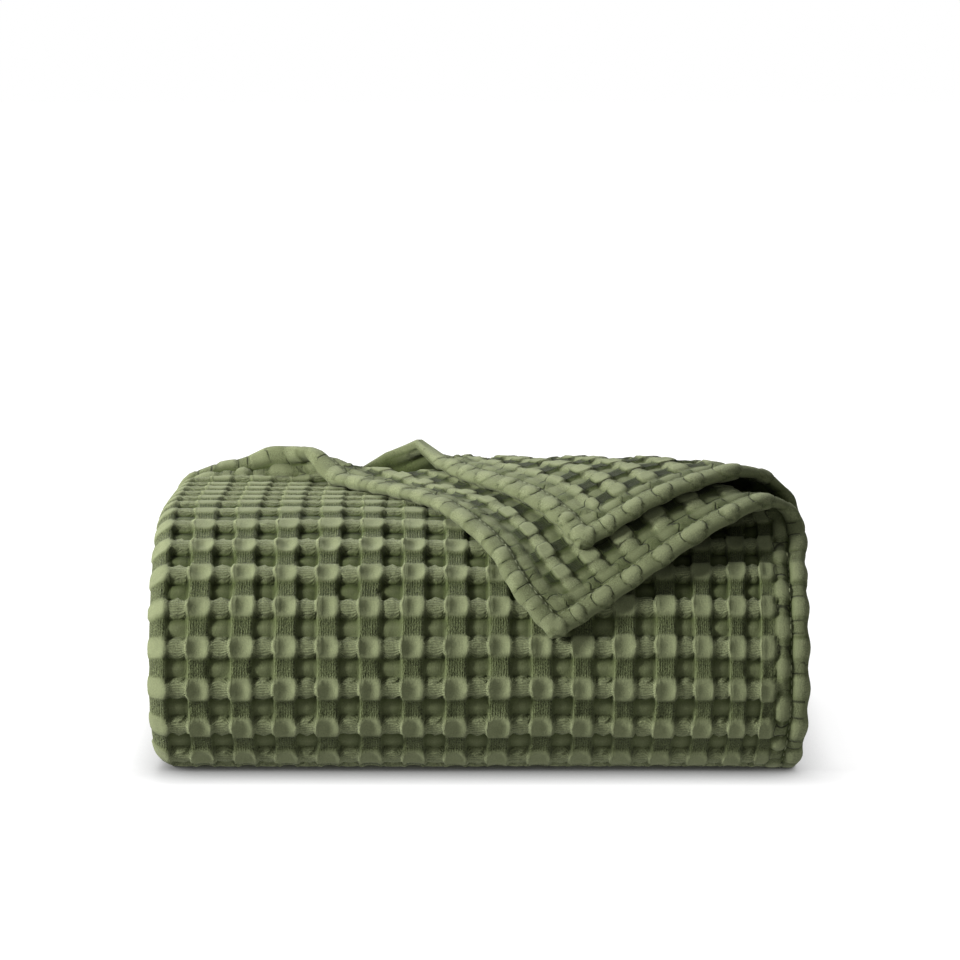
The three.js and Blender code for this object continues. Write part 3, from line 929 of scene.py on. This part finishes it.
def cloth_mesh():
    """The cloth's points in the roll's own place, its faces, and the fields of each point."""
    points = []
    fields = {"a": [], "b": [], "shade": [], "yarn": [], "crease": []}
    faces = []
    total = 0
    grids = {1: [], -1: []}
    for side in (1, -1):
        last = None
        start = 0.0
        for zone in ZONES:
            places, share = zone_columns(zone[side])
            rows, strengths = zone_rows(zone["rows"], start, zone["to"])
            start = zone["to"]
            grid, values = cloth_points(places, rows, side, share, strengths)
            ids = np.arange(total, total + grid.shape[0] * grid.shape[1]).reshape(grid.shape[:2])
            total += ids.size
            points.append(grid.reshape(-1, 3))
            for name, field in fields.items():
                field.append(values[name].ravel())
            quads = np.stack([ids[:-1, :-1], ids[:-1, 1:], ids[1:, 1:], ids[1:, :-1]], axis=-1)
            group = [tuple(quad) for quad in quads.reshape(-1, 4).tolist()]
            if last is not None:
                group += join(last[0], ids[0].tolist(), last[1], places)
            faces += group if side > 0 else turned_round(group)
            last = (ids[-1].tolist(), places)
            grids[side].append((ids, places))

    for column in (0, -1):
        outer, inner = (np.concatenate([ids[:, column] for ids, _ in grids[side]]) for side in (1, -1))
        rim = np.stack([outer[:-1], outer[1:], inner[1:], inner[:-1]], axis=-1).tolist()
        faces += rim if column == 0 else turned_round(rim)
    for end in (0, -1):
        outer_ids, outer_places = grids[1][end]
        inner_ids, inner_places = grids[-1][end]
        cap = join(outer_ids[end].tolist(), inner_ids[end].tolist(), outer_places, inner_places)
        faces += turned_round(cap) if end == 0 else cap
    return np.concatenate(points), faces, {name: np.concatenate(field) for name, field in fields.items()}


def sheet_middle():
    """The middle of the plain sheet's box, which is where the part's own origin is."""
    count = 900
    places = np.sort(np.concatenate([np.linspace(0, CUT_WIDTH, count), RUN_STARTS]))
    rows = np.linspace(0, ROLL_LENGTH, count)
    plain = np.zeros(len(rows))
    faces = [cloth_points(places, rows, side, 0.0, plain)[0].reshape(-1, 3) for side in (1, -1)]
    box = np.concatenate(faces)
    low, high = box.min(axis=0), box.max(axis=0)
    return np.array([(low[0] + high[0]) / 2, (low[1] + high[1]) / 2, low[2]])


MIDDLE = sheet_middle()


# Materials


def add_node(tree, kind, links=(), **settings):
    """A node with its settings, and its inputs set to values or linked to other nodes' sockets."""
    node = tree.nodes.new(kind)
    for name, value in settings.items():
        setattr(node, name, value)
    for socket, value in links:
        if isinstance(value, bpy.types.NodeSocket):
            tree.links.new(value, node.inputs[socket])
        else:
            node.inputs[socket].default_value = value
    return node


def calc(tree, operation, first, second=0.0):
    return add_node(tree, "ShaderNodeMath", [(0, first), (1, second)], operation=operation).outputs[0]


def times(tree, first, second):
    return calc(tree, "MULTIPLY", first, second)


def plus(tree, first, second):
    return calc(tree, "ADD", first, second)


def minus(tree, first, second):
    return calc(tree, "SUBTRACT", first, second)


def ramp(tree, value, low, high, to_low=0.0, to_high=1.0):
    links = [("Value", value), ("From Min", low), ("From Max", high)]
    links += [("To Min", to_low), ("To Max", to_high)]
    node = add_node(tree, "ShaderNodeMapRange", links, interpolation_type="SMOOTHSTEP")
    return node.outputs["Result"]


def fall(tree, value, low, high):
    return ramp(tree, value, low, high, 1.0, 0.0)


def noise(tree, vector, scale, detail, roughness):
    links = [("Vector", vector), ("Scale", scale), ("Detail", detail), ("Roughness", roughness)]
    return add_node(tree, "ShaderNodeTexNoise", links).outputs["Fac"]


def attribute(tree, name):
    return add_node(tree, "ShaderNodeAttribute", attribute_name=name).outputs["Fac"]


def plain_material(name, colour, roughness):
    material = bpy.data.materials.new(name)
    material.use_nodes = True
    shader = material.node_tree.nodes["Principled BSDF"]
    shader.inputs["Base Color"].default_value = colour
    shader.inputs["Roughness"].default_value = roughness
    return material


# The cloth's colours by painted shade, from its darkest, most shaded places to its lightest ones
CLOTH_COLOURS = (
    (0.0, (0.028, 0.036, 0.011, 1)),
    (SHADE_ZERO, (0.064, 0.082, 0.025, 1)),
    (0.64, (0.145, 0.166, 0.079, 1)),
    (1.0, (0.235, 0.262, 0.138, 1)),
)

CLOTH_FINISH = {"Specular IOR Level": 0.12, "Sheen Weight": 0.06, "Sheen Roughness": 0.5}
CLOTH_ROUGHNESS = 0.8

# Yarns in a cell: how many, how strong their even lines and their uneven ones are, how often they break
# along their length, and how high they stand. Uneven lines are closer together than even ones.
RIB_YARNS = Sizes(count=17.0, even=0.45, uneven=6.5, breaks=20.0, high=0.75)
RING_YARNS = Sizes(count=15.0, even=0.7, uneven=2.6, breaks=12.0, high=0.5)
CLOSER = 1.6

# Scale, detail and roughness of the noises, and how far the mottling bends the even yarns
FIBRE_NOISE = (1400.0, 4.0, 0.65)
MOTTLE_NOISE = (120.0, 3.0, 0.6)
STRAND_NOISE = (1.0, 2.0, 0.6)
TWIST_NOISE = (2600.0, 2.0, 0.5)
DRIFT = 4.0

# Where the fine relief lies in a cell: the slopes of the ridges and rows, the bow of the ties' yarns,
# the rim along a ridge, and how wide a crease is and where the mottling breaks it
FINE_PLACES = Sizes(
    ridge=(0.2, 0.28),
    row=(0.24, 0.33),
    tie_bow=-9.0,
    rim_at=0.238,
    rim=(0.01, 0.055),
    crease=(0.0, 0.17),
    crease_breaks=(0.35, 0.6),
)

# How high the fine relief stands, and how much it lightens or darkens the colour. The rim's lightening
# is a painted highlight and the creases' darkening is painted shade.
FINE_HEIGHT = Sizes(fibre=0.9, crease=1.2, rim=0.8, strength=0.8, distance=0.0006)
FINE_TONE_AND_PAINTED_LIGHT = Sizes(plain=0.825, mottle=0.35, grain=(0.7, 1.6), yarns=0.42, rim=0.4, crease=0.72)


def cell_places(tree):
    """Places in a cell by the weave's map: off the ridge and off the tie, and where the yarns lie."""
    weave = add_node(tree, "ShaderNodeUVMap", uv_map="weave").outputs["UV"]
    split = add_node(tree, "ShaderNodeSeparateXYZ", [("Vector", weave)]).outputs
    a, b = split["X"], split["Y"]
    from_ridge = minus(tree, a, calc(tree, "ROUND", a))
    x = calc(tree, "ABSOLUTE", from_ridge)
    y = calc(tree, "ABSOLUTE", minus(tree, b, calc(tree, "ROUND", b)))
    on_ridge = fall(tree, x, *FINE_PLACES.ridge)
    on_row = fall(tree, y, *FINE_PLACES.row)
    bow = times(tree, calc(tree, "POWER", minus(tree, 0.5, x), 2.0), FINE_PLACES.tie_bow)
    return Sizes(
        a=a,
        b=b,
        y=y,
        from_ridge=from_ridge,
        off_tie=calc(tree, "DIVIDE", y, plus(tree, bow, 1.0)),
        in_gap=times(tree, on_ridge, minus(tree, 1.0, on_row)),
        on_tie=times(tree, minus(tree, 1.0, on_ridge), on_row),
    )


def yarn_lines(tree, across, along, yarns, drift):
    """Lines of yarn that run along one way of the cell, even ones and uneven ones together."""
    strand = times(tree, across, CLOSER * yarns.count)
    lengthwise = times(tree, along, yarns.breaks)
    vector = add_node(tree, "ShaderNodeCombineXYZ", [("X", strand), ("Y", lengthwise)]).outputs["Vector"]
    uneven = minus(tree, noise(tree, vector, *STRAND_NOISE), 0.5)
    phase = plus(tree, times(tree, across, 2 * math.pi * yarns.count), drift)
    even = times(tree, calc(tree, "SINE", phase), yarns.even)
    return plus(tree, even, times(tree, uneven, yarns.uneven))


def cloth_colour(tree):
    """The cloth's colour by its painted shade."""
    node = add_node(tree, "ShaderNodeValToRGB", [("Fac", attribute(tree, "shade"))])
    stops = node.color_ramp.elements
    stops[0].position, stops[0].color = CLOTH_COLOURS[0]
    stops[1].position, stops[1].color = CLOTH_COLOURS[-1]
    for position, colour in CLOTH_COLOURS[1:-1]:
        stops.new(position).color = colour
    return node.outputs["Color"]


def waffle_material():
    """Waffle cloth: colour by painted shade, with yarns, fibres, rims and creases in fine relief and in
    tone, a painted highlight on the rims and painted shade in the creases.
    """
    material = plain_material("waffle_cloth", CLOTH_COLOURS[-1][1], CLOTH_ROUGHNESS)
    tree = material.node_tree
    shader = tree.nodes["Principled BSDF"]
    cell = cell_places(tree)
    place = add_node(tree, "ShaderNodeTexCoord").outputs["Object"]
    fibre = noise(tree, place, *FIBRE_NOISE)
    mottle = noise(tree, place, *MOTTLE_NOISE)
    drift = times(tree, mottle, DRIFT)

    strength = attribute(tree, "yarn")
    ribs = times(tree, yarn_lines(tree, cell.a, cell.b, RIB_YARNS, drift), cell.in_gap)
    rings = times(tree, yarn_lines(tree, cell.off_tie, cell.a, RING_YARNS, drift), cell.on_tie)
    yarns = plus(tree, times(tree, ribs, RIB_YARNS.high), times(tree, rings, RING_YARNS.high))
    yarns = times(tree, yarns, strength)

    waist = calc(tree, "COSINE", times(tree, cell.y, 2 * math.pi))
    ridge_edge = plus(tree, times(tree, waist, RIDGE.waist), FINE_PLACES.rim_at)
    off_edge = calc(tree, "ABSOLUTE", minus(tree, cell.from_ridge, ridge_edge))
    rim = times(tree, fall(tree, off_edge, *FINE_PLACES.rim), strength)
    off_crease = calc(tree, "ABSOLUTE", attribute(tree, "crease"))
    crease = fall(tree, off_crease, *FINE_PLACES.crease)
    crease = times(tree, crease, ramp(tree, mottle, *FINE_PLACES.crease_breaks))

    height = plus(tree, yarns, times(tree, fibre, FINE_HEIGHT.fibre))
    height = minus(tree, height, times(tree, crease, FINE_HEIGHT.crease))
    height = plus(tree, height, times(tree, rim, FINE_HEIGHT.rim))
    links = [("Height", height), ("Strength", FINE_HEIGHT.strength), ("Distance", FINE_HEIGHT.distance)]
    bump = add_node(tree, "ShaderNodeBump", links)

    yarn_shows = calc(tree, "MAXIMUM", cell.in_gap, cell.on_tie)
    grain = times(tree, minus(tree, fibre, 0.5), ramp(tree, yarn_shows, 0.0, 1.0, *FINE_TONE_AND_PAINTED_LIGHT.grain))
    tone = plus(tree, times(tree, mottle, FINE_TONE_AND_PAINTED_LIGHT.mottle), grain)
    tone = plus(tree, plus(tree, tone, FINE_TONE_AND_PAINTED_LIGHT.plain), times(tree, yarns, FINE_TONE_AND_PAINTED_LIGHT.yarns))
    # Painted highlight along the rim on the lit side of each ridge
    tone = plus(tree, tone, times(tree, rim, FINE_TONE_AND_PAINTED_LIGHT.rim))
    # Painted shade: the creases darken the colour
    tone = times(tree, tone, minus(tree, 1.0, times(tree, crease, FINE_TONE_AND_PAINTED_LIGHT.crease)))
    links = [(0, cloth_colour(tree)), ("Scale", tone)]
    colour = add_node(tree, "ShaderNodeVectorMath", links, operation="SCALE").outputs["Vector"]
    tree.links.new(colour, shader.inputs["Base Color"])
    tree.links.new(bump.outputs["Normal"], shader.inputs["Normal"])
    for name, value in CLOTH_FINISH.items():
        shader.inputs[name].default_value = value
    return material


THREAD_COLOUR = (0.2, 0.225, 0.115, 1)
THREAD_ROUGHNESS = 0.7
THREAD_TWIST = Sizes(strength=0.6, distance=0.0003)


def thread_material():
    """Thread in the cloth's own colour, with its twist in fine relief."""
    material = plain_material("sewing_thread", THREAD_COLOUR, THREAD_ROUGHNESS)
    tree = material.node_tree
    shader = tree.nodes["Principled BSDF"]
    place = add_node(tree, "ShaderNodeTexCoord").outputs["Object"]
    twist = noise(tree, place, *TWIST_NOISE)
    links = [("Height", twist), ("Strength", THREAD_TWIST.strength), ("Distance", THREAD_TWIST.distance)]
    bump = add_node(tree, "ShaderNodeBump", links)
    tree.links.new(bump.outputs["Normal"], shader.inputs["Normal"])
    return material


# The blanket


def make_blanket(material):
    points, faces, fields = cloth_mesh()
    points = points - MIDDLE
    points[:, 2] = np.maximum(points[:, 2], 0.0)
    mesh = bpy.data.meshes.new("waffle_blanket")
    mesh.from_pydata((points * MM).tolist(), [], faces)
    loops = np.zeros(len(mesh.loops), int)
    mesh.loops.foreach_get("vertex_index", loops)
    weave = mesh.uv_layers.new(name="weave")
    cells = np.stack([fields["a"], fields["b"]], axis=-1)
    weave.data.foreach_set("uv", cells[loops].astype(np.float32).ravel())
    # The painted shade that sets the colour, and how strongly the yarns and the creases show
    for name in ("shade", "yarn", "crease"):
        level = mesh.attributes.new(name, "FLOAT", "POINT")
        level.data.foreach_set("value", np.clip(fields[name], -1, 1).astype(np.float32))
    mesh.shade_smooth()
    mesh.materials.append(material)
    mesh.update()
    piece = bpy.data.objects.new("waffle_blanket", mesh)
    bpy.context.scene.collection.objects.link(piece)
    return piece


blanket = make_blanket(waffle_material())
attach(blanket, "root")
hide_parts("blanket")


# The hems' stitching

STITCH = {"Spacing": 4.2, "Length": 3.0, "Thickness": 0.75}
THREAD_SHAPE = [("Segments", 6), ("Rings", 4), ("Radius", 0.5)]
SEAM = 8.8
SEAM_TO = 345.0
SEAM_STEP = 1.0
OFF_FLOOR = 1.0

# The parts of a hem that show, by laps of the loop: short of it, and past it
LYING = (-99.0, 0.0)
TURNED_OVER = (1.1, 99.0)


def seam_lines():
    """Lines along the hems' seams where they show, as points on the cloth."""
    along_side = np.arange(SEAM, SEAM_TO, SEAM_STEP)
    across_end = np.arange(SEAM, OUTER_END, SEAM_STEP)
    at_seam = np.array([SEAM])
    lines = []

    def add(places, rows, side, laps):
        points = cloth_points(places, rows, side, 1.0, np.ones(len(rows)))[0]
        cloth = flat_cloth(places, rows)
        layer = 0 if places[0] < OUTER_END else 1
        _, past, _, _, _, lap = loop_at(layer, cloth.x, cloth.from_end, cloth.hems)
        shown = ((past / lap > laps[0]) & (past / lap < laps[1])).ravel()
        chain = points.reshape(-1, 3) - MIDDLE
        lines.append(chain[shown & (chain[:, 2] > OFF_FLOOR)])

    add(across_end, at_seam, 1, LYING)
    add(at_seam, along_side, 1, LYING)
    add(across_end, at_seam, -1, TURNED_OVER)
    add(CUT_WIDTH - across_end[::-1], at_seam, 1, TURNED_OVER)
    add(at_seam, along_side, -1, TURNED_OVER)
    add(CUT_WIDTH - at_seam, along_side, 1, TURNED_OVER)
    return lines


def stitch_tree(material):
    """Nodes that lay short threads along each line, with inputs for their spacing and their size."""
    tree = bpy.data.node_groups.new("hem_stitches", "GeometryNodeTree")
    face = tree.interface
    face.new_socket("Seams", in_out="INPUT", socket_type="NodeSocketGeometry")
    for name in STITCH:
        face.new_socket(name, in_out="INPUT", socket_type="NodeSocketFloat")
    face.new_socket("Stitches", in_out="OUTPUT", socket_type="NodeSocketGeometry")
    given = tree.nodes.new("NodeGroupInput").outputs
    shown = tree.nodes.new("NodeGroupOutput").inputs
    curve = add_node(tree, "GeometryNodeMeshToCurve", [("Mesh", given["Seams"])]).outputs["Curve"]
    links = [("Curve", curve), ("Length", given["Spacing"])]
    spaced = add_node(tree, "GeometryNodeResampleCurve", links, mode="LENGTH").outputs["Curve"]
    tangent = add_node(tree, "GeometryNodeInputTangent").outputs["Tangent"]
    links = [("Vector", tangent)]
    turn = add_node(tree, "FunctionNodeAlignRotationToVector", links, axis="Z").outputs["Rotation"]
    thread = add_node(tree, "GeometryNodeMeshUVSphere", THREAD_SHAPE).outputs["Mesh"]
    links = [("X", given["Thickness"]), ("Y", given["Thickness"]), ("Z", given["Length"])]
    size = add_node(tree, "ShaderNodeCombineXYZ", links).outputs["Vector"]
    links = [("Points", spaced), ("Instance", thread), ("Rotation", turn), ("Scale", size)]
    laid = add_node(tree, "GeometryNodeInstanceOnPoints", links).outputs["Instances"]
    real = add_node(tree, "GeometryNodeRealizeInstances", [("Geometry", laid)]).outputs["Geometry"]
    links = [("Geometry", real), ("Material", material)]
    dressed = add_node(tree, "GeometryNodeSetMaterial", links).outputs["Geometry"]
    tree.links.new(dressed, shown["Stitches"])
    return tree


def make_stitches(material):
    points = []
    edges = []
    for line in seam_lines():
        first = len(points)
        points += (line * MM).tolist()
        edges += [(first + i, first + i + 1) for i in range(len(line) - 1)]
    mesh = bpy.data.meshes.new("seams")
    mesh.from_pydata(points, edges, [])
    piece = bpy.data.objects.new("hem_stitches", mesh)
    bpy.context.scene.collection.objects.link(piece)
    tree = stitch_tree(material)
    sewing = piece.modifiers.new("hem_stitches", "NODES")
    sewing.node_group = tree
    for socket in tree.interface.items_tree:
        if socket.name in STITCH:
            sewing[socket.identifier] = STITCH[socket.name] * MM
    bpy.context.view_layer.update()
    seen = piece.evaluated_get(bpy.context.evaluated_depsgraph_get())
    finished = bpy.data.meshes.new_from_object(seen)
    piece.modifiers.remove(sewing)
    piece.data = finished
    finished.shade_smooth()
    return piece


stitches = make_stitches(thread_material())
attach(stitches, "root")


# Floor and light, in metres

FLOOR_COLOUR = (0.1, 0.1, 0.1, 1)
FLOOR_ROUGHNESS = 0.8
FLOOR_HALF = 6.0
FLOOR_SHADOW = 0.032
FLOOR_GLOW = (0.94, 1.0)
FLOOR_GLOW_OVER = (0.2, 1.1)
LIGHT_TARGET = (0.0, 0.0, 0.06)
LIGHTS = (
    {"name": "key", "place": (-1.76, -0.74, 0.78), "size": 0.7, "power": 56.0},
    {"name": "top", "place": (-0.35, 1.0, 1.35), "size": 0.9, "power": 25.0},
)
SKY_LOOKS_UP = (-0.5, 0.3)
SKY_STRENGTH = (0.55, 0.2)
WHITE = (1.0, 1.0, 1.0, 1.0)


def make_floor():
    """A pale floor that shines evenly, with a painted soft shadow where the cloth is near: its glow dims
    towards the cloth and where the cloth occludes it.
    """
    mesh = bpy.data.meshes.new("floor")
    corners = [(x * FLOOR_HALF, y * FLOOR_HALF, 0) for x, y in ((-1, -1), (1, -1), (1, 1), (-1, 1))]
    mesh.from_pydata(corners, [], [(0, 1, 2, 3)])
    pale = plain_material("pale_floor", FLOOR_COLOUR, FLOOR_ROUGHNESS)
    tree = pale.node_tree
    shader = tree.nodes["Principled BSDF"]
    place = add_node(tree, "ShaderNodeTexCoord").outputs["Object"]
    away = add_node(tree, "ShaderNodeVectorMath", [(0, place)], operation="LENGTH").outputs["Value"]
    links = [("Distance", FLOOR_SHADOW)]
    near = add_node(tree, "ShaderNodeAmbientOcclusion", links, samples=12).outputs["AO"]
    # Painted contact shadow: the glow is dimmed near the cloth and by occlusion
    glow = times(tree, ramp(tree, away, *FLOOR_GLOW_OVER, *FLOOR_GLOW), near)
    shader.inputs["Emission Color"].default_value = WHITE
    tree.links.new(glow, shader.inputs["Emission Strength"])
    mesh.materials.append(pale)
    piece = bpy.data.objects.new("floor", mesh)
    piece.visible_diffuse = False
    piece.visible_glossy = False
    bpy.context.scene.collection.objects.link(piece)
    return piece


floor = make_floor()


def turned_towards(direction):
    return direction.to_track_quat("-Z", "Y").to_euler()


def add_area_light(name, place, size, power):
    data = bpy.data.lights.new(name, "AREA")
    data.shape = "DISK"
    data.size = size
    data.energy = power
    light = bpy.data.objects.new(name, data)
    light.location = place
    light.rotation_euler = turned_towards(Vector(LIGHT_TARGET) - Vector(place))
    bpy.context.scene.collection.objects.link(light)


def make_studio():
    """A white backdrop for the camera, and a soft fill that is stronger from below."""
    world = bpy.data.worlds.new("studio")
    world.use_nodes = True
    tree = world.node_tree
    fill = tree.nodes["Background"]
    fill.inputs["Color"].default_value = WHITE
    direction = add_node(tree, "ShaderNodeTexCoord").outputs["Generated"]
    upward = add_node(tree, "ShaderNodeSeparateXYZ", [("Vector", direction)]).outputs["Z"]
    tree.links.new(ramp(tree, upward, *SKY_LOOKS_UP, *SKY_STRENGTH), fill.inputs["Strength"])
    backdrop = add_node(tree, "ShaderNodeBackground", [("Color", WHITE), ("Strength", 1.0)])
    seen = add_node(tree, "ShaderNodeLightPath").outputs["Is Camera Ray"]
    links = [(0, seen), (1, fill.outputs[0]), (2, backdrop.outputs[0])]
    shown = add_node(tree, "ShaderNodeMixShader", links)
    tree.links.new(shown.outputs[0], tree.nodes["World Output"].inputs["Surface"])
    bpy.context.scene.world = world
    bpy.context.scene.view_settings.view_transform = "Standard"


# The camera's place and target in the roll's own place, in millimetres
CAMERA_PLACE = np.array([1.0, -2622.9, 464.15])
CAMERA_TARGET = np.array([1.0, -143.0, 147.79])
CAMERA_LENS = 193.0
CAMERA_SENSOR = 36.0
CAMERA_SEES_TO = 50.0


def make_camera():
    data = bpy.data.cameras.new("camera")
    data.lens = CAMERA_LENS
    data.sensor_width = CAMERA_SENSOR
    data.clip_end = CAMERA_SEES_TO
    camera = bpy.data.objects.new("camera", data)
    camera.location = Vector((CAMERA_PLACE - MIDDLE) * MM)
    camera.rotation_euler = turned_towards(Vector((CAMERA_TARGET - CAMERA_PLACE) * MM))
    bpy.context.scene.collection.objects.link(camera)
    bpy.context.scene.camera = camera


for light in LIGHTS:
    add_area_light(**light)
make_studio()
make_camera()
